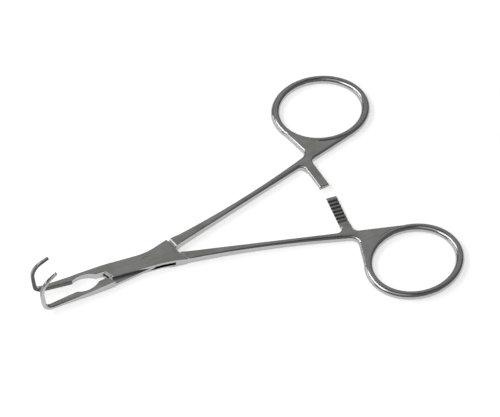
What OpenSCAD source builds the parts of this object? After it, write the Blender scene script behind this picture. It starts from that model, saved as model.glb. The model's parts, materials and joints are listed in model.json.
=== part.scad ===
// Vascular clamp with box lock, finger rings, ratchet and upturned C-shaped jaws.
// Lies flat, +Z up, pivot axis through the origin, +X towards the finger rings.
// Each half is laid out as it sits with the jaws closed, then turned open.

/* [Pose] */
// Half of the opening angle shown, in degrees
open_half = 5; // [0:0.5:20]

/* [Lock] */
// Thickness of the box lock
lock_thick = 3; // [2.4:0.1:4.5]
// Thickness of each cheek of the box
cheek_thick = 0.95; // [0.7:0.05:1.2]
// Gap between tongue and each cheek
lock_gap = 0.04; // [0.02:0.01:0.1]
// Diameter of the lock pin
pin_d = 2.4; // [1.6:0.1:3]
// Gap all round between pin and tongue
pin_gap = 0.05; // [0.02:0.01:0.08]
// Distance from the mid-plane to the long edges of the box
lock_half = 2.62; // [2.3:0.02:3.2]

/* [Shanks] */
// Distance along the clamp from pivot to ring centre
ring_reach = 73.87; // [66:0.1:88]
// Distance from the mid-plane to ring centre, jaws closed
ring_out = 25.16; // [20:0.1:30]
// Thickness of a shank
shank_thick = 2.3; // [2:0.1:2.9]
// Rounding of the shank edges beside the lock
shank_round = 0.25; // [0.2:0.05:0.7]
// Rounding of the edges where shank, ring and bar meet
neck_round = 0.95; // [0.6:0.05:1.1]

/* [Finger rings] */
// Diameter of the ring wire
wire_d = 2.6; // [2:0.1:3.4]
// Half length of a ring, to the middle of the wire
ring_long = 13.9; // [12:0.1:16]
// Half width of a ring, to the middle of the wire
ring_wide = 12.05; // [10.5:0.05:13]
// Turn of the long axis of a ring
ring_turn = -10; // [-20:1:10]
// How far short of the ring's near end its two wires run together
neck_short = 2.58; // [2:0.02:4]
// How far outside the ring its two wires run together
neck_out = 2.5; // [2:0.1:4]

/* [Ratchet] */
// Width of a ratchet bar
bar_wide = 3.2; // [2.4:0.1:4]
// Distance from where the ring wires meet back to the middle of a bar
bar_back = 3; // [2.6:0.05:4]
// How far the upper bar passes the mid-plane
bar_over_upper = 1.3; // [0.5:0.1:3]
// How far the lower bar passes the mid-plane
bar_over_lower = 5.7; // [4:0.1:6]
// Pitch of the ratchet teeth
tooth_pitch = 1.35; // [1:0.05:1.6]
// Height of the ratchet teeth
tooth_high = 0.42; // [0.3:0.02:0.5]
// Number of ratchet teeth
tooth_count = 7; // [4:1:7]

/* [Jaws] */
// Height of a jaw bar where it leaves the root
jaw_high = 1.8; // [1.6:0.02:2]
// Height of a jaw bar at the lower bend of the hook
hook_high = 1.24; // [1:0.02:1.5]
// Thickness of the hook at its tip
tip_high = 0.8; // [0.6:0.02:1]
// Width of a jaw bar where it leaves the root
jaw_wide = 2.04; // [1.8:0.02:2.1]
// Width of a jaw bar at the lower bend of the hook
hook_wide = 1.6; // [1.3:0.05:1.8]
// Width of the hook at its tip
tip_wide = 0.95; // [0.7:0.05:1.2]
// Distance from pivot to the bend of the hook
hook_reach = 31.5; // [28:0.1:36]
// Radius of the lower bend, middle of the bar
hook_low_r = 2.7; // [2:0.1:5]
// Radius of the upper bend, middle of the bar
hook_top_r = 6.2; // [5:0.1:8]
// Straight length between the bends
hook_rise = 4.4; // [2:0.1:6]
// Straight length at the tip
hook_tip = 2.3; // [0.5:0.1:4]
// Pitch of the fine teeth on the working faces
serration_pitch = 0.7; // [0.5:0.05:1]
// Depth of the fine teeth
serration_deep = 0.14; // [0.08:0.02:0.2]
// Depth of the hollow behind the working faces
hollow_deep = 1.15; // [0.6:0.05:1.3]

/* [Hidden] */
$fn = 72;
wire_r = wire_d / 2;
ring_z = wire_r + 0.05;
slot_low = cheek_thick;
slot_high = lock_thick - cheek_thick;
pin_r = pin_d / 2;
bore_r = pin_r + pin_gap;

// Ring as a round loop stretched to an oval
ring_r = (ring_long + ring_wide) / 2;
stretch = [ring_long / ring_r, ring_wide / ring_r];
ring_mid = [ring_reach, ring_out];

// Where the two straight wires of the ring run together, and where they touch the oval
join_at = ring_mid - [ring_long - neck_short, ring_wide + neck_out];
join_in = turned(join_at - ring_mid, -ring_turn);
join_u = [join_in[0] / stretch[0], join_in[1] / stretch[1]];
join_a = 360 + atan2(join_u[1], join_u[0]);
join_w = acos(ring_r / norm(join_u));
left_p = oval(join_a - join_w);
low_p = oval(join_a + join_w);
bar_reach = join_at[0] - bar_back;

// Shank levels: from just under the top of the lock down to just under the top of the wire
shank_x0 = 9.5;
neck_drop = 0.14;
shank_top = lock_thick - 0.02;
shank_low = lock_thick - shank_thick - 0.06;
neck_top = ring_z + wire_r - neck_drop;
neck_low = ring_z - wire_r + neck_drop;

function top_at(x) = shank_top + (neck_top - shank_top) * (x - shank_x0) / (join_at[0] - shank_x0);
function low_at(x) = shank_low + (neck_low - shank_low) * (x - shank_x0) / (join_at[0] - shank_x0);

// Outer shank edge: an arc bowed towards the mid-plane
edge_r = 300;
edge_a = [10.48, 3.52];
edge_b = [bar_reach - 3.2, join_at[1] + 0.35];
edge_l = norm(edge_b - edge_a);
edge_dir = atan2(edge_b[1] - edge_a[1], edge_b[0] - edge_a[0]);
edge_h = sqrt(edge_r * edge_r - edge_l * edge_l / 4);
edge_o = (edge_a + edge_b) / 2 + edge_h * [-sin(edge_dir), cos(edge_dir)];

// Inner shank edge: straight
inner_a = [10.2, 0.42];
inner_b = [bar_reach - 3.4, join_at[1] - 2.2];
inner_dir = atan2(inner_b[1] - inner_a[1], inner_b[0] - inner_a[0]);

// Jaw bar levels
jaw_top = lock_thick / 2 + 1.14;
jaw_gap = 0.012;

// Root of a jaw: full height at the lock, falling to the bar
jaw_root_x = 10;
root_end = 13.5;
root_low = 0.5;
bar_start = 20.5;
root_stop = 22.5;
root_lap = 0.05;

// Middle line of bar and hook in the side view
low_end = 85;
top_turn = 61;
hook_mid = jaw_top - hook_high / 2;
bend1 = [-hook_reach, hook_mid + hook_low_r];
rise_a = bend1 + hook_low_r * [cos(270 - low_end), sin(270 - low_end)];
rise_dir = 180 - low_end;
rise_b = rise_a + hook_rise * [cos(rise_dir), sin(rise_dir)];
bend2 = rise_b + hook_top_r * [sin(rise_dir), -cos(rise_dir)];
tip_a = bend2 + hook_top_r * [cos(270 - low_end - top_turn), sin(270 - low_end - top_turn)];
tip_dir = rise_dir - top_turn;
edge_break = 0.1;

// Lengths along that line, from the start of the bar
bar_long = hook_reach - bar_start;
bend1_long = hook_low_r * low_end * PI / 180;
bend2_long = hook_top_r * top_turn * PI / 180;
at_bend1 = bar_long;
at_rise = at_bend1 + bend1_long;
at_bend2 = at_rise + hook_rise;
at_tip = at_bend2 + bend2_long;
hook_long = at_tip + hook_tip;

// Rounded hollow between shank edge and the left wire of the ring
hollow_r = 2.2;
edge_head = edge_dir + asin(edge_l / (2 * edge_r));
left_dir = ring_turn + atan2(left_p[1] - join_in[1], left_p[0] - join_in[0]);
neck_half = wire_r - 0.17;
hollow_u = join_at + (hollow_r + neck_half) * dir(left_dir + 90);
hollow_v = edge_b + hollow_r * dir(edge_head + 90) - hollow_u;
hollow_s = (hollow_v[0] * sin(edge_head) - hollow_v[1] * cos(edge_head)) / sin(edge_head - left_dir);
hollow_o = hollow_u + hollow_s * dir(left_dir);

// Small hollows at the root of the ratchet bar
root_r = 1.6;
bar_left = bar_reach - bar_wide / 2;
bar_right = bar_reach + bar_wide / 2;
low_dir = ring_turn + atan2(low_p[1] - join_in[1], low_p[0] - join_in[0]);
low_edge = join_at + neck_half * dir(low_dir - 90);
left_end_p = ring_mid + turned(left_p, ring_turn) + neck_half * dir(left_dir + 90) + 0.5 * dir(left_dir);
low_end_p = ring_mid + turned(low_p, ring_turn) + neck_half * dir(low_dir - 90) + 0.5 * dir(low_dir);
root_left = [bar_left - root_r, inner_b[1] + tan(inner_dir) * (bar_left - root_r - inner_b[0]) - root_r / cos(inner_dir)];
root_right = [bar_right + root_r, low_edge[1] + tan(low_dir) * (bar_right + root_r - low_edge[0]) - root_r / cos(low_dir)];
root_y = min(root_left[1], root_right[1]);

// Levels of the two ratchet bars
bar_split = ring_z + 0.1;
bar_gap = 0.1;
bar_round = 0.55;

// Box outline, jaws closed: the flare that covers the shank of the other half
flare_dir = 20.2;
flare_x = 0.43;
flare_t = 3.2;
flare_r = flare_t / tan(flare_dir / 2);
box_far = lock_half - 0.2;
flare_end = [8.05, box_far + tan(flare_dir) * (8.05 - flare_x)];
waist_x = 5.5;
waist_t = 3;
waist_dir = atan2(edge_a[1] - lock_half, edge_a[0] - waist_x);
waist_r = waist_t / tan(waist_dir / 2);
end_bevel = 0.56;
jaw_bevel = 0.42;

function turned(p, a) = [p[0] * cos(a) - p[1] * sin(a), p[0] * sin(a) + p[1] * cos(a)];

function dir(a) = [cos(a), sin(a)];

// Points of an arc about o, from angle a on by turn degrees
function arc(o, r, a, turn, n) = [for (i = [0:n]) o + r * dir(a + turn * i / n)];

// Point on the middle line of the ring
function oval(a) = [ring_long * cos(a), ring_wide * sin(a)];

// Flat plate with the given outline between two levels
module plate(points, low, high) {
    translate([0, 0, low])
        linear_extrude(high - low)
            polygon(points);
}

// Finger ring
module ring() {
    translate([ring_mid[0], ring_mid[1], ring_z])
        rotate([0, 0, ring_turn])
            scale([stretch[0], stretch[1], 1])
                rotate_extrude($fn = 76)
                    translate([ring_r, 0])
                        circle(r = wire_r, $fn = 18);
}

// Outline of shank, neck and ratchet bar, clockwise from above. Each entry gives a point, the
// direction into the steel, the rounding of the edge there and how far the rounding moves the point.
function handle_rim(bar_tip) = concat(
    [for (i = [0:8])
        let (a = edge_head - 90 - (8 - i) / 8 * 2 * asin(edge_l / (2 * edge_r)))
        [edge_o + edge_r * dir(a), a, shank_round + (neck_round - shank_round) * i / 8, 1]],
    [for (i = [0:9])
        let (a = edge_head - 90 + (left_dir - edge_head) * i / 9)
        [hollow_o + hollow_r * dir(a), a, neck_round, 1]],
    [[left_end_p, left_dir - 90, neck_round, 1]],
    [for (i = [0:12])
        [ring_mid + turned(oval(join_a - join_w + 2 * join_w * i / 12), ring_turn), 0, neck_round, 0]],
    [[low_end_p, low_dir + 90, neck_round, 1]],
    [for (i = [0:7])
        let (a = low_dir + 90 + (90 - low_dir) * i / 7)
        [root_right + root_r * dir(a), a, neck_round + (bar_round - neck_round) * i / 7, 1]],
    [
        [[bar_right, bar_tip], 135, bar_round, sqrt(2)],
        [[bar_left, bar_tip], 45, bar_round, sqrt(2)]
    ],
    [for (i = [0:8])
        let (a = (inner_dir + 90) * i / 8)
        [root_left + root_r * dir(a), a, bar_round + (neck_round - bar_round) * i / 8, 1]],
    [[inner_a, inner_dir + 90, shank_round, 1]]
);

// A point of the rim on one layer: turn 0 is the middle of the edge, 90 the flat face beyond it
function rim_point(q, turn, up) =
    let (p = q[0] + q[3] * q[2] * (1 - cos(turn)) * dir(q[1]))
    [p[0], p[1], up ? top_at(p[0]) - q[2] * (1 - sin(turn)) : low_at(p[0]) + q[2] * (1 - sin(turn))];

// Solid through a row of outlines, each with the same number of points
module loft(outlines) {
    n = len(outlines[0]);
    last = len(outlines) - 1;
    polyhedron(points = [for (outline = outlines) for (p = outline) p], faces = concat(
        [[for (i = [n - 1:-1:0]) i], [for (i = [0:n - 1]) last * n + i]],
        [for (k = [0:last - 1]) for (i = [0:n - 1]) [k * n + i, k * n + (i + 1) % n, (k + 1) * n + (i + 1) % n]],
        [for (k = [0:last - 1]) for (i = [0:n - 1]) [k * n + i, (k + 1) * n + (i + 1) % n, (k + 1) * n + i]]
    ));
}

// Shank, neck and ratchet bar with rounded edges, and the ring they run into, as one forging
module handle(bar_tip) {
    rim = handle_rim(bar_tip);
    turns = [90, 60, 30, 0];
    resize([0, 0, shank_top - ring_z + wire_r])
        union() {
            ring();
            loft(concat(
                [for (i = [0:3]) [for (q = rim) rim_point(q, turns[i], false)]],
                [for (i = [3:-1:0]) [for (q = rim) rim_point(q, turns[i], true)]]
            ));
        }
}

// One ratchet tooth gap, running across the bar
module tooth_gap(y, z, up) {
    translate([bar_left - 1, y, z])
        rotate([90, 0, 90])
            linear_extrude(bar_wide + 2)
                polygon([
                    [0.12, up * 0.3], [0.12, 0], [tooth_pitch * 0.3, -up * tooth_high],
                    [tooth_pitch, 0], [tooth_pitch, up * 0.3]
                ]);
}

// Handle with the upper ratchet bar: smooth on top, teeth underneath
module upper_handle() {
    difference() {
        handle(-bar_over_upper);
        translate([bar_left - 1, -bar_over_upper - 1, -1])
            cube([bar_wide + 2, root_y + bar_over_upper + 1, bar_split + 1]);
        for (i = [0:tooth_count - 3])
            tooth_gap(0.6 - bar_over_upper + i * tooth_pitch, bar_split, -1);
    }
}

// Handle with the lower ratchet bar: teeth on top, sloped tip
module lower_handle() {
    high = bar_split - bar_gap;
    difference() {
        handle(-bar_over_lower);
        translate([bar_left - 1, -bar_over_lower - 1, high])
            cube([bar_wide + 2, root_y + bar_over_lower + 1, 3]);
        for (i = [0:tooth_count - 1])
            tooth_gap(1.3 - bar_over_lower + i * tooth_pitch, high, 1);
        translate([bar_left - 1, -bar_over_lower + 1, high])
            rotate([32, 0, 0])
                translate([0, -3, 0])
                    cube([bar_wide + 2, 3, 2]);
    }
}

// Place and heading of the middle line of bar and hook, s along it
function along(s) =
    s < at_bend1 ? [[-bar_start - s, jaw_top - half_at(s)], 180] :
    s < at_rise ? let (a = (s - at_bend1) / hook_low_r * 180 / PI) [bend1 + hook_low_r * dir(270 - a), 180 - a] :
    s < at_bend2 ? [rise_a + (s - at_rise) * dir(rise_dir), rise_dir] :
    s < at_tip ? let (a = (s - at_bend2) / hook_top_r * 180 / PI)
        [bend2 + hook_top_r * dir(270 - low_end - a), rise_dir - a] :
    [tip_a + (s - at_tip) * dir(tip_dir), tip_dir];

function mix(a, b, t) = a + (b - a) * t;

// Half height and full width of the section, s along the middle line
function half_at(s) = s < at_bend1 ?
    mix(jaw_high, hook_high, s / at_bend1) / 2 :
    mix(hook_high, tip_high, (s - at_bend1) / (hook_long - at_bend1)) / 2;
function wide_at(s) = s < at_bend1 ?
    mix(jaw_wide, hook_wide, s / at_bend1) :
    mix(hook_wide, tip_wide, (s - at_bend1) / (hook_long - at_bend1));

// Section of bar and hook: two rows of teeth beside a groove, and a back rounded with radius r
function hook_section(h, w, r, groove, tooth) =
    let (e = min(edge_break, h / 4), g = jaw_gap)
    concat(
        [
            [-h + e, g + groove / 3], [-0.66 * h, g + tooth], [-0.24 * h, g + tooth], [-0.12 * h, g + groove],
            [0.12 * h, g + groove], [0.24 * h, g + tooth], [0.66 * h, g + tooth], [h - e, g + groove / 3],
            [h, g + groove / 3 + e]
        ],
        [for (a = [0:30:90]) [h - r + r * cos(a), w - r + r * sin(a)]],
        [for (a = [90:30:180]) [-h + r + r * cos(a), w - r + r * sin(a)]],
        [[-h, g + groove / 3 + e]]
    );

// How far the rounding of the back has grown, s along the middle line
function round_at(s) = mix(0.1, 0.62, min(s / at_bend1, 1)) * half_at(s);

// Bar and hook as one swept form: plain bar, toothed hook and a rounded tip
module hook() {
    bar = [for (s = [0:1:4]) [s / 4 * (at_bend1 - serration_pitch), 1, 0.03, 0]];
    steps = round((hook_long - at_bend1) / serration_pitch * 2);
    toothed = [for (i = [0:steps])
        [at_bend1 + (hook_long - at_bend1) * i / steps, 1, 0.18, i % 2 * serration_deep]];
    tip = [for (a = [30, 55, 75]) [hook_long + tip_high / 2 * sin(a), cos(a), 0.18 * cos(a), 0]];
    loft([for (q = concat(bar, toothed, tip))
        let (
            s = min(q[0], hook_long),
            p = along(q[0]),
            back = jaw_gap + (wide_at(s) - jaw_gap) * (0.5 + q[1] / 2)
        )
        [for (c = hook_section(half_at(s) * q[1], back, round_at(s) * q[1], q[2], q[3]))
            [p[0][0] + c[0] * cos(p[1] + 90), c[1], p[0][1] + c[0] * sin(p[1] + 90)]]]);
}

// Jaw of the half whose jaw lies towards +Y, starting from the line root in the plan
module jaw(root) {
    difference() {
        union() {
            intersection() {
                translate([0, 4, 0])
                    rotate([90, 0, 0])
                        linear_extrude(5)
                            polygon([
                                [-jaw_root_x, root_low], [-root_end, root_low],
                                [-bar_start, jaw_top - jaw_high - root_lap], [-root_stop, jaw_top - jaw_high + 0.12],
                                [-root_stop, jaw_top - 0.03], [-bar_start, jaw_top + root_lap],
                                [-root_end, lock_thick], [-jaw_root_x, lock_thick]
                            ]);
                plate(concat(root, [
                    [-bar_start, jaw_wide + root_lap], [-root_stop, jaw_wide - 0.12], [-root_stop, jaw_gap]
                ]), -1, 30);
            }
            hook();
        }
        translate([-19.5, hollow_deep - 6.5, -1])
            cylinder(r = 6.5, h = 6);
    }
}

// The half whose box takes the tongue: shank towards -Y, jaw towards +Y
module box_half() {
    color([0.62, 0.63, 0.62])
        rotate([0, 0, -open_half])
            difference() {
                union() {
                    mirror([0, 1, 0])
                        lower_handle();
                    box_body();
                    jaw([[-10, jaw_gap], [-10, 2.46], [-root_end, 2.4]]);
                }
                slot();
                translate([0, 0, -1])
                    cylinder(r = pin_r, h = lock_thick + 2);
            }
}

// Solid block of the box before the slot is cut
module box_body() {
    difference() {
        plate([
            [-13.35, 0.03],
            [-13.24, -0.05],
            [-11.44, -lock_half],
            [waist_x - waist_t, -lock_half],
            [waist_x + waist_t * cos(waist_dir), -lock_half - waist_t * sin(waist_dir)],
            [edge_a[0], -edge_a[1]],
            [12, -edge_a[1] - 0.1],
            [12, -0.9],
            [10.15, -0.42],
            [9.7, 0.05],
            [9.25, 1.8],
            flare_end,
            [flare_x + flare_t * cos(flare_dir), box_far + flare_t * sin(flare_dir)],
            [flare_x - flare_t, box_far],
            [-13.35, box_far]
        ], 0, lock_thick);
        translate([flare_x - flare_t, box_far + flare_r, -1])
            cylinder(r = flare_r, h = lock_thick + 2, $fn = 180);
        translate([waist_x - waist_t, -lock_half - waist_r, -1])
            cylinder(r = waist_r, h = lock_thick + 2, $fn = 360);
        // Bright bevels at both open ends of the upper cheek
        translate([9.25, 1.8, lock_thick])
            rotate([0, 0, atan2(flare_end[1] - 1.8, flare_end[0] - 9.25)])
                rotate([45, 0, 0])
                    cube([12, end_bevel, end_bevel], center = true);
        translate([-12.34, -lock_half / 2, lock_thick])
            rotate([0, 0, atan2(0.05 - lock_half, 13.24 - 11.44)])
                rotate([45, 0, 0])
                    cube([6, jaw_bevel, jaw_bevel], center = true);
        heel();
        // Bevel along the lower long edge
        translate([-3, -lock_half, 0])
            rotate([45, 0, 0])
                cube([18, 0.7, 0.7], center = true);
    }
}

// Slope that lets the underside of the lock run out into a shank
module heel() {
    translate([0, 10, 0])
        rotate([90, 0, 0])
            linear_extrude(20)
                polygon([[7.8, 0], [12.2, lock_thick - shank_thick + 0.1], [12.2, -1], [7.8, -1]]);
}

// Room for the tongue
module slot() {
    plate([
        [-14, -5], [7.9, -5], [7.9, -2.7], [9.9, 0], [10.6, 6], [-7.9, 6],
        [-7.9, 2.6], [-13.36, 0.05], [-14, 0.05]
    ], slot_low, slot_high);
}

// The half whose tongue runs in the box: shank towards +Y, jaw towards -Y
module tongue_half() {
    color([0.6, 0.61, 0.6])
        rotate([0, 0, open_half])
            difference() {
                union() {
                    upper_handle();
                    shoulder();
                    mirror([0, 1, 0])
                        jaw([[-13.33, jaw_gap], [-11.55, 2.43], [-root_end, 2.4]]);
                    tongue();
                }
                translate([0, 0, -1])
                    cylinder(r = bore_r, h = lock_thick + 2);
            }
}

// Full-height start of the shank beside the open end of the box
module shoulder() {
    difference() {
        plate([[9.86, 0.2], [12, 0.75], [12, edge_a[1] + 0.1], [9.39, edge_a[1] + 0.02]], 0.2, lock_thick);
        heel();
        translate([9.62, 1.9, lock_thick])
            rotate([0, 0, 97.5])
                rotate([45, 0, 0])
                    cube([8, end_bevel, end_bevel], center = true);
    }
}

// Thin middle that passes between the cheeks
module tongue() {
    plate([
        [-13.4, -0.02], [-11.55, -lock_half + 0.02], [7.75, -lock_half + 0.02], [9.72, 0.1], [11.5, 0.7],
        [11.5, 3.5], [9.39, edge_a[1]], [3, 2.5], [-7.75, box_far - 0.05]
    ], slot_low + lock_gap, slot_high - lock_gap);
}

// Pin through both cheeks and the tongue, ground flush
module lock_pin() {
    color([0.66, 0.67, 0.66])
        cylinder(r = pin_r, h = lock_thick);
}

box_half();
tongue_half();
lock_pin();
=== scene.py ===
# %% [markdown]
# # A ring-handled vascular clamp in satin and bright steel
#
# The clamp is three pieces of stainless steel: a half with a slotted box, a half whose thinned
# tongue runs through that box, and the pin that both turn on. This lesson gives those pieces the
# surfaces of a real instrument: blasted satin flats, rolled bright edges, hand polished finger
# rings and finely cut working faces.

# %% Load the frame
import json
import math

import bpy
from mathutils import Matrix, Vector


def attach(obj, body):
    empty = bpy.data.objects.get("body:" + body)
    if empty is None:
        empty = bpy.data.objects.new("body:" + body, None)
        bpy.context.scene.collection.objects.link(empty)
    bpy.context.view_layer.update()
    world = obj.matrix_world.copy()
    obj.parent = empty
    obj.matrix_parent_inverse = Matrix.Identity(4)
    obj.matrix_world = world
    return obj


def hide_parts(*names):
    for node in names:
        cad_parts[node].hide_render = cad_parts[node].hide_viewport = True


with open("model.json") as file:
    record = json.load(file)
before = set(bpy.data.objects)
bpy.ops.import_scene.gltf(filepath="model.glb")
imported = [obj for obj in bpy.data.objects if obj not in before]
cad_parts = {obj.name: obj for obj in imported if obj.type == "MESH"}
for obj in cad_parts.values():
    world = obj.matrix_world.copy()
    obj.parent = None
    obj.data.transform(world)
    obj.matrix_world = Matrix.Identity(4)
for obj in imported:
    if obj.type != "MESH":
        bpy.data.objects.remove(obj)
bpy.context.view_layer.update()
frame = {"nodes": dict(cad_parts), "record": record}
mm = 0.001

# %% [markdown]
# ## A clear selection
#
# Blender's operators act on all that is selected, and the loader leaves every CAD node selected.
# Each step below therefore starts from an empty selection and names the one piece it works on.

# %% Selection helpers
def choose(piece):
    """Selects one piece alone and makes it active."""
    bpy.ops.object.select_all(action="DESELECT")
    piece.select_set(True)
    bpy.context.view_layer.objects.active = piece
    return piece


# %% [markdown]
# ## The camera
#
# The photograph was taken with a long lens from above and in front, so the two shanks hardly
# converge. The camera looks at a point between lock and ratchet. Azimuth 0 looks along +Y, and the
# elevation is measured above the table. A small roll levels the picture as the photographer held it.

# %% Camera at the photograph's viewing angle
view_azimuth = math.radians(-26.334)
view_elevation = math.radians(51.634)
view_roll = math.radians(1.615)
view_distance = 1.020
view_target = Vector((35.41, 4.877, 3.0)) * mm
frame_width_px = 500
focal_px = 3460.7

back = Vector((
    math.sin(view_azimuth) * math.cos(view_elevation),
    -math.cos(view_azimuth) * math.cos(view_elevation),
    math.sin(view_elevation),
))
level_right = Vector((math.cos(view_azimuth), math.sin(view_azimuth), 0))
level_up = back.cross(level_right)
right = level_right * math.cos(view_roll) + level_up * math.sin(view_roll)
up = level_up * math.cos(view_roll) - level_right * math.sin(view_roll)

lens = bpy.data.cameras.new("long_lens")
lens.sensor_width = 36
lens.lens = focal_px / frame_width_px * lens.sensor_width
lens.clip_start = 0.05
lens.clip_end = 20
camera = bpy.data.objects.new("camera", lens)
bpy.context.scene.collection.objects.link(camera)
camera.matrix_world = Matrix.Translation(view_target + back * view_distance) @ Matrix(
    (right, up, back)
).transposed().to_4x4()
bpy.context.scene.camera = camera
print("lens in mm:", round(lens.lens, 1))

# %% [markdown]
# ## Shader maths written as sums
#
# A material is a graph of small nodes. The class below wraps one output of that graph, so that
# `1 - mask * 0.3` adds the Math nodes it needs. `add` makes any other node: its settings come first,
# and then the values or links of its sockets.

# %% Signals and graphs
class Signal:
    """One output of a shader graph that can be used in sums."""

    def __init__(self, graph, socket):
        self.graph = graph
        self.socket = socket

    def maths(self, operation, *values):
        sockets = dict(enumerate(values))
        return self.graph.add("ShaderNodeMath", {"operation": operation}, sockets)

    def __add__(self, other):
        return self.maths("ADD", self, other)

    def __sub__(self, other):
        return self.maths("SUBTRACT", self, other)

    def __mul__(self, other):
        return self.maths("MULTIPLY", self, other)

    def __truediv__(self, other):
        return self.maths("DIVIDE", self, other)

    def __rsub__(self, other):
        return self.maths("SUBTRACT", other, self)

    __radd__ = __add__
    __rmul__ = __mul__

    def absolute(self):
        return self.maths("ABSOLUTE", self)

    def root(self):
        return self.maths("SQRT", self)

    def at_most(self, limit):
        return self.maths("MINIMUM", self, limit)

    def rise(self, low, high):
        """0 below low, 1 above high, smooth in between."""
        settings = {"interpolation_type": "SMOOTHSTEP", "clamp": True}
        sockets = {"Value": self, "From Min": low, "From Max": high}
        return self.graph.add("ShaderNodeMapRange", settings, sockets)


class Graph:
    """The node graph of one new material, or of the world."""

    def __init__(self, owner):
        self.owner = owner
        owner.use_nodes = True
        self.nodes = owner.node_tree.nodes
        self.links = owner.node_tree.links
        self.nodes.clear()

    def add(self, kind, settings=None, sockets=None, output=0):
        node = self.nodes.new(kind)
        for name, value in (settings or {}).items():
            if name == "stops":
                self.set_stops(node.color_ramp, value)
            else:
                setattr(node, name, value)
        for name, value in (sockets or {}).items():
            if isinstance(value, Signal):
                self.links.new(value.socket, node.inputs[name])
            else:
                node.inputs[name].default_value = value
        return Signal(self, node.outputs[output])

    def set_stops(self, ramp, stops):
        while len(ramp.elements) < len(stops):
            ramp.elements.new(0.5)
        for element, (place, colour) in zip(ramp.elements, stops):
            element.position = place
            element.color = (*colour, 1)

    def blend(self, share, first, second):
        """Colour first where share is 0, second where it is 1."""
        node = self.nodes.new("ShaderNodeMix")
        node.data_type = "RGBA"
        for socket, value in (
            (node.inputs["Factor"], share),
            (node.inputs[6], first),
            (node.inputs[7], second),
        ):
            if isinstance(value, Signal):
                self.links.new(value.socket, socket)
            elif isinstance(value, tuple):
                socket.default_value = (*value, 1)
            else:
                socket.default_value = value
        return Signal(self, node.outputs[2])

    def parts(self, vector):
        """The three numbers of a vector."""
        node = self.nodes.new("ShaderNodeSeparateXYZ")
        self.links.new(vector.socket, node.inputs[0])
        return [Signal(self, output) for output in node.outputs]

    def surface(self, shader, end="ShaderNodeOutputMaterial"):
        node = self.nodes.new(end)
        self.links.new(shader.socket, node.inputs["Surface"])
        return self.owner


# %% [markdown]
# ## The steel
#
# The real finish has two parts. The flats are blasted with fine glass beads, which leaves a soft
# grey satin that reflects the room as a blur. The rings, and every edge that a hand touches, are
# then buffed bright. One graph makes both: a mask finds what faces straight up or down, and the
# two finishes meet along it. A fine grain in roughness and height breaks the reflections up as
# beads do, and broad faint clouds keep the grey from being even.

# %% Tones of the finishes and of painted shade
satin_grey = (0.485, 0.484, 0.466)
satin_cloud = (0.40, 0.392, 0.365)
streak_grey = (0.28, 0.275, 0.26)
bright_grey = (0.47, 0.475, 0.475)
cut_dark = (0.10, 0.096, 0.088)
# The lighter grey of the cut speckle, also used as painted shade on the hook's upper rim.
cut_speckle_and_rim_shade = (0.21, 0.203, 0.19)
# Painted shade for the valleys of the ratchet teeth, fading to a steel grey at their crests.
tooth_valley_shade = (0.13, 0.128, 0.122)
tooth_crest_grey = (0.50, 0.495, 0.48)
# Painted shadow for the level faces inside the box's slot.
slot_painted_shadow = (0.02, 0.02, 0.02)
half_opening = math.radians(5)


# %% Masks that find the cut faces
def working_face(x, y):
    """1 on the faces of jaw and hook that meet when the clamp closes."""
    off_plane = y.absolute() * math.cos(half_opening) + x * math.sin(half_opening)
    return (1 - off_plane.rise(0.19 * mm, 0.25 * mm)) * (1 - x.rise(-20.5 * mm, -19.5 * mm))


def hook_zone(x, z):
    """1 on the part of the jaw that rises above the flats."""
    return z.rise(2.6 * mm, 3.2 * mm) * (1 - x.rise(-27 * mm, -26 * mm))


def ratchet_teeth(x, y, z, side):
    """1 on the toothed face of a ratchet bar, which lies near the middle of its height."""
    on_bar = x.rise(50 * mm, 50.1 * mm) * (1 - x.rise(66 * mm, 66.1 * mm))
    on_bar = on_bar * (1 - y.absolute().rise(9 * mm, 9.2 * mm))
    inside = z.rise(0.85 * mm, 0.9 * mm) * (1 - z.rise(1.9 * mm, 1.95 * mm))
    return on_bar * inside * (1 - side.rise(0.5, 0.8))
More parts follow.
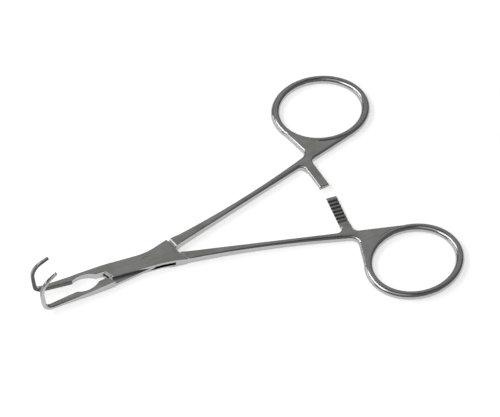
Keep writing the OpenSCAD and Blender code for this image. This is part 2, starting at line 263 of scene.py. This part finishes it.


# %% A graph for blasted, buffed and cut steel, with painted shade in the slot, ratchet teeth and hook rim
def steel(name, valley_shade_at, crest_grey_at, hook_back, slot=0.0):
    graph = Graph(bpy.data.materials.new(name))
    place = graph.add("ShaderNodeTexCoord", output=3)
    x, y, z = graph.parts(place)
    facing = graph.add("ShaderNodeNewGeometry", output=1)
    facing_x, facing_y, facing_z = graph.parts(facing)
    level = facing_z.absolute()
    satin = level.rise(0.97, 0.997)

    clouds = graph.add("ShaderNodeTexNoise", {}, {"Vector": place, "Scale": 170, "Detail": 4})
    grain = graph.add("ShaderNodeTexNoise", {}, {"Vector": place, "Scale": 9000, "Detail": 2})
    lengthwise = graph.add("ShaderNodeMapping", {}, {"Vector": place, "Scale": (0.08, 1, 1)})
    streaks = graph.add("ShaderNodeTexNoise", {}, {"Vector": lengthwise, "Scale": 1800, "Detail": 3})
    speckle = graph.add("ShaderNodeTexNoise", {}, {"Vector": place, "Scale": 5200, "Detail": 3})
    hook = hook_zone(x, z)
    inward = (facing_y * -hook_back).rise(0.1, 0.4)
    cut = (working_face(x, y) + hook * inward).at_most(1.0)
    # The hook's upper rim, which gets painted shade below and a lower roughness.
    hook_edge = hook * (1 - facing_y.absolute().rise(0.35, 0.75)) * z.rise(5 * mm, 9 * mm)
    teeth = ratchet_teeth(x, y, z, facing_x.absolute())

    tone = graph.blend(clouds.rise(0.38, 0.68), satin_grey, satin_cloud)
    tone = graph.blend(streaks.rise(0.42, 0.72) * 0.3, tone, streak_grey)
    tone = graph.blend(satin, bright_grey, tone)
    tone = graph.blend(cut, tone, graph.blend(speckle.rise(0.35, 0.65), cut_dark, cut_speckle_and_rim_shade))
    # Painted shade: the upper rim of the hook, away from its flanks, is coloured dark grey.
    tone = graph.blend(hook_edge * 0.8, tone, cut_speckle_and_rim_shade)
    # Painted shade: the ratchet teeth are coloured dark in their valleys and grey at their crests.
    shaded_tooth_tone = graph.blend(z.rise(valley_shade_at, crest_grey_at), tooth_valley_shade, tooth_crest_grey)
    tone = graph.blend(teeth, tone, shaded_tooth_tone)
    # Painted shadow: the level faces inside the box's slot are coloured near black.
    if slot:
        slot_shadow_area = (1 - (z - 1.5 * mm).absolute().rise(0.56 * mm, 0.6 * mm)) * satin
        slot_shadow_area = slot_shadow_area * (1 - (x - 1 * mm).absolute().rise(11 * mm, 11.2 * mm))
        tone = graph.blend(slot_shadow_area, tone, slot_painted_shadow)

    rough = 0.17 + satin * 0.2
    rough = rough + (grain - 0.5) * (0.12 * satin)
    rough = rough + (cut + teeth).at_most(1.0) * 0.3 + hook * (1 - cut) * (0.2 - hook_edge * 0.16)
    rounded = graph.add("ShaderNodeBevel", {"samples": 6}, {"Radius": 0.25 * mm})
    bump = graph.add("ShaderNodeBump", {}, {
        "Strength": 0.05, "Distance": 0.02 * mm, "Height": grain * satin, "Normal": rounded,
    })
    shader = graph.add("ShaderNodeBsdfPrincipled", {}, {
        "Base Color": tone, "Metallic": 1.0, "Roughness": rough, "Normal": bump,
    })
    return graph.surface(shader)


# %% [markdown]
# ## Dressing the three pieces
#
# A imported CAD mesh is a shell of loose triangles. Each is copied, its doubled corners are merged,
# and it is shaded smooth where neighbouring faces turn less than 35 degrees, so that bends, rings
# and arcs reflect as one surface and real edges stay crisp.

# %% Merged copies stand for the CAD nodes
def finish_piece(node, name, material):
    piece = frame["nodes"][node].copy()
    piece.data = piece.data.copy()
    piece.parent = None
    piece.name = name
    for key in list(piece.keys()):
        del piece[key]
    bpy.context.scene.collection.objects.link(piece)
    choose(piece)
    bpy.ops.object.mode_set(mode="EDIT")
    bpy.ops.mesh.select_all(action="SELECT")
    bpy.ops.mesh.remove_doubles(threshold=1e-6)
    bpy.ops.object.mode_set(mode="OBJECT")
    bpy.ops.mesh.customdata_custom_splitnormals_clear()
    bpy.ops.object.shade_smooth_by_angle(angle=math.radians(35))
    bpy.ops.object.modifier_add(type="WEIGHTED_NORMAL")
    piece.modifiers[-1].keep_sharp = True
    bpy.ops.object.modifier_apply(modifier=piece.modifiers[-1].name)
    piece.data.materials.clear()
    piece.data.materials.append(material)
    body = next(b for b, nodes in frame["record"]["behaviour"]["bodies"].items() if node in nodes)
    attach(piece, body)
    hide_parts(node)
    print(name, "has", len(piece.data.polygons), "faces")
    return piece


# The two heights give where the painted tooth shade is full and where it reaches the crest grey.
box_steel = steel("box_steel", 0.95 * mm, 1.34 * mm, 1.0, slot=1.0)
tongue_steel = steel("tongue_steel", 1.85 * mm, 1.46 * mm, -1.0)
finish_piece("box_half", "box_half_steel", box_steel)
finish_piece("tongue_half", "tongue_half_steel", tongue_steel)
finish_piece("lock_pin", "lock_pin_steel", tongue_steel)

# %% [markdown]
# ## The table and the light
#
# The clamp lies on a white table under one large soft lamp, a little in front of it. The room above
# is grey, so satin flats stay darker than the flanks, which mirror the white table. The table's
# shader adds a little of its own light for the camera and for reflections, which keeps the ground
# white while the clamp's shadow still shows.

# %% Floor and backdrop
def ground_material(name):
    graph = Graph(bpy.data.materials.new(name))
    seen = graph.add("ShaderNodeLightPath", output=0)
    mirrored = graph.add("ShaderNodeLightPath", output=3)
    through = graph.add("ShaderNodeLightPath", output=6)
    share = (seen + mirrored + through).at_most(1.0)
    paint = graph.add("ShaderNodeBsdfDiffuse", {}, {"Color": (0.9, 0.9, 0.9, 1)})
    glow = graph.add("ShaderNodeEmission", {}, {"Color": (1, 1, 1, 1), "Strength": 0.60})
    both = graph.nodes.new("ShaderNodeAddShader")
    graph.links.new(paint.socket, both.inputs[0])
    graph.links.new(glow.socket, both.inputs[1])
    choice = graph.nodes.new("ShaderNodeMixShader")
    graph.links.new(share.socket, choice.inputs[0])
    graph.links.new(paint.socket, choice.inputs[1])
    graph.links.new(both.outputs[0], choice.inputs[2])
    return graph.surface(Signal(graph, choice.outputs[0]))


table_radius = 1.2
table_white = ground_material("table_white")
bpy.ops.object.select_all(action="DESELECT")
bpy.ops.mesh.primitive_circle_add(vertices=96, radius=table_radius, fill_type="NGON", location=(0, 0, 0))
table_top = bpy.context.object
table_top.name = "table_top"
table_top.data.materials.append(table_white)


# %% Lamps and room
def grey(level):
    return (level, level, level)


def soft_lamp(name, place, aim, size, power):
    lamp = bpy.data.lights.new(name, "AREA")
    lamp.shape = "RECTANGLE"
    lamp.size, lamp.size_y = size
    lamp.energy = power
    holder = bpy.data.objects.new(name, lamp)
    bpy.context.scene.collection.objects.link(holder)
    holder.location = place
    holder.rotation_mode = "QUATERNION"
    holder.rotation_quaternion = (Vector(aim) - Vector(place)).to_track_quat("-Z", "Y")
    return holder


clamp_middle = Vector((25, 0, 0)) * mm


def seen_way(towards_camera, to_the_right, upwards):
    """A direction given as the photographer sees it: two level parts, and up."""
    level_back = Vector((back.x, back.y, 0)).normalized()
    way = level_back * towards_camera + level_right * to_the_right + Vector((0, 0, upwards))
    return way.normalized()


def beside_camera(towards_camera, to_the_right, upwards, distance):
    return clamp_middle + seen_way(towards_camera, to_the_right, upwards) * distance


soft_lamp("left_softbox", beside_camera(0.04, -0.60, 0.80, 0.8), clamp_middle, (0.85, 0.28), 2.4)
soft_lamp("left_window", beside_camera(-0.16, -0.94, 0.28, 0.8), clamp_middle, (0.7, 0.16), 0.9)

room = Graph(bpy.data.worlds.new("grey_room"))
bpy.context.scene.world = room.owner
direction = room.add("ShaderNodeTexCoord", output=0)
mirror_way = (-back.x, -back.y, back.z)
towards_mirror = room.add(
    "ShaderNodeVectorMath", {"operation": "DOT_PRODUCT"}, {0: direction, 1: mirror_way}, output=1
)
height = room.parts(direction)[2]
room_tone = room.add("ShaderNodeValToRGB", {"stops": (
    (0.0, grey(0.22)), (0.35, grey(0.15)), (0.62, grey(0.12)), (0.86, grey(0.30)), (1.0, grey(0.45)),
)}, {"Fac": towards_mirror})
room_tone = room.blend(height.rise(0.0, 0.35), grey(0.11), room_tone)
room_tone = room.blend(height.rise(0.86, 0.97), room_tone, grey(0.08))
towards_ceiling = room.add("ShaderNodeVectorMath", {"operation": "DOT_PRODUCT"}, {
    0: direction, 1: tuple(seen_way(0.42, -0.2, 0.885)),
}, output=1)
room_tone = room.blend(towards_ceiling.rise(0.92, 0.985), room_tone, grey(0.7))
sky = room.add("ShaderNodeBackground", {}, {"Color": room_tone, "Strength": 1.0})
room.surface(sky, "ShaderNodeOutputWorld")
bpy.context.scene.view_settings.view_transform = "Standard"
